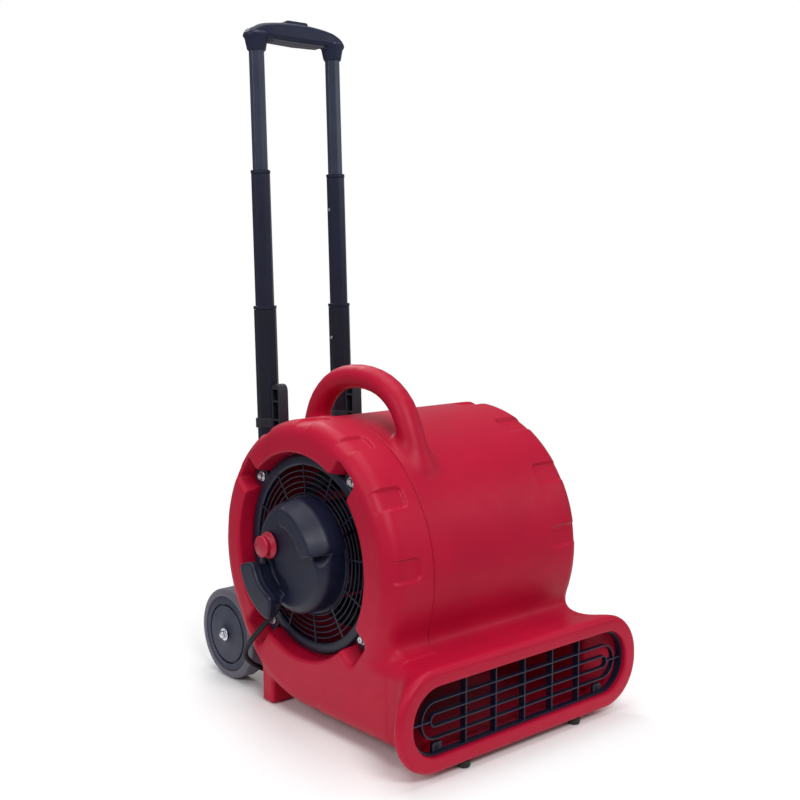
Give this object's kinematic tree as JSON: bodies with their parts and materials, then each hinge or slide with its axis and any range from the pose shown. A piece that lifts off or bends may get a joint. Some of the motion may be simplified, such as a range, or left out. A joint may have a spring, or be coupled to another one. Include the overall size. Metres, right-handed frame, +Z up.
{
  "type": "air mover",
  "caption": "Centrifugal floor air mover with a side inlet guard, wide outlet grille, carry handle, telescopic pull handle, rear wheels and a coiled mains cord.",
  "frame": {"origin": "on the floor, at the centre of the box of everything but the cord, its coil and its plug", "axes": "+Z up, the outlet faces -Y, the motor side is -X, the pull handle and wheels are at +Y"},
  "size_m": [0.49, 0.596, 1.0852],
  "materials": {
    "housing_red": "rotomoulded polyethylene, satin with a fine mould grain",
    "moulded_black": "moulded nylon, satin",
    "zinc": "bright zinc plate",
    "motor_paint": "die-cast case, black paint",
    "bright_steel": "turned steel",
    "blower_black": "moulded polypropylene",
    "knob_red": "moulded, half gloss",
    "switch_black": "phenolic switch body",
    "capacitor_case": "pale moulded case",
    "foot_rubber": "moulded rubber",
    "hub_black": "moulded, fine texture",
    "tyre_grey": "grey moulded tread",
    "bracket_black": "moulded, satin",
    "tube_outer_paint": "dark satin powder coat",
    "tube_middle_paint": "dark blue-grey satin coat",
    "tube_inner_paint": "blue-grey anodised look",
    "grip_black": "moulded, satin",
    "grip_rubber": "soft moulded insert",
    "cord_black": "cord jacket"
  },
  "bodies": {
    "root": {"housing": "housing_red", "inlet_guard_motor_side": "moulded_black", "inlet_guard_far_side": "moulded_black", "motor_cover": "moulded_black", "outlet_grille": "moulded_black", "guard_screw_motor_side_1": "zinc", "guard_screw_motor_side_2": "zinc", "guard_screw_motor_side_3": "zinc", "guard_screw_motor_side_4": "zinc", "guard_screw_far_side_1": "zinc", "guard_screw_far_side_2": "zinc", "guard_screw_far_side_3": "zinc", "guard_screw_far_side_4": "zinc", "motor_can": "motor_paint", "motor_mount_ring": "zinc", "speed_switch": "switch_black", "run_capacitor": "capacitor_case", "axle": "bright_steel", "grille_screw_left": "zinc", "front_foot_left": "foot_rubber", "axle_bolt_left": "zinc", "frame_foot_left": "bracket_black", "outer_tube_left": "tube_outer_paint", "outer_tube_cap_left": "moulded_black", "outer_lock_pin_left": "zinc", "pole_bracket_left": "bracket_black", "pole_clamp_left": "bracket_black", "grille_screw_right": "zinc", "front_foot_right": "foot_rubber", "axle_bolt_right": "zinc", "frame_foot_right": "bracket_black", "outer_tube_right": "tube_outer_paint", "outer_tube_cap_right": "moulded_black", "outer_lock_pin_right": "zinc", "pole_bracket_right": "bracket_black", "pole_clamp_right": "bracket_black", "strain_relief": "cord_black", "cord_lead": "cord_black", "cord_coil": "cord_black", "cord_tail": "cord_black", "plug": "cord_black"},
    "rotor": {"motor_shaft": "bright_steel", "blower_wheel": "blower_black", "blower_wheel_nut": "zinc"},
    "knob": {"speed_knob": "knob_red"},
    "wheel_left": {"wheel_hub_left": "hub_black", "tyre_left": "tyre_grey"},
    "wheel_right": {"wheel_hub_right": "hub_black", "tyre_right": "tyre_grey"},
    "middle_stage": {"middle_tube_left": "tube_middle_paint", "middle_tube_right": "tube_middle_paint", "middle_tube_cap_left": "moulded_black", "middle_tube_cap_right": "moulded_black", "middle_lock_pin_left": "zinc", "middle_lock_pin_right": "zinc"},
    "inner_stage": {"inner_tube_left": "tube_inner_paint", "inner_tube_right": "tube_inner_paint", "grip": "grip_black", "grip_pad": "grip_rubber"},
    "button": {"release_button": "grip_black"}
  },
  "joints": [
    {"name": "rotor_spin", "type": "hinge", "parent": "root", "child": "rotor", "pos_m": [0, -0.008, 0.255], "axis": [1, 0, 0], "continuous": true},
    {"name": "knob_turn", "type": "hinge", "parent": "root", "child": "knob", "pos_m": [-0.218, 0.037, 0.267], "axis": [-1, 0, 0], "range_deg": [0, 135]},
    {"name": "wheel_left_spin", "type": "hinge", "parent": "root", "child": "wheel_left", "pos_m": [-0.1565, 0.223, 0.075], "axis": [1, 0, 0], "continuous": true},
    {"name": "wheel_right_spin", "type": "hinge", "parent": "root", "child": "wheel_right", "pos_m": [0.1565, 0.223, 0.075], "axis": [1, 0, 0], "continuous": true},
    {"name": "middle_stage_slide", "type": "slide", "parent": "root", "child": "middle_stage", "axis": [0, 0.0349, 0.9994], "range_m": [-0.214, 0]},
    {"name": "inner_stage_slide", "type": "slide", "parent": "middle_stage", "child": "inner_stage", "axis": [0, 0.0349, 0.9994], "range_m": [-0.19, 0]},
    {"name": "button_press", "type": "slide", "parent": "inner_stage", "child": "button", "axis": [0, -0.0349, -0.9994], "range_m": [0, 0.005], "stiffness_N_per_m": 900, "springref_m": -0.004}
  ]
}
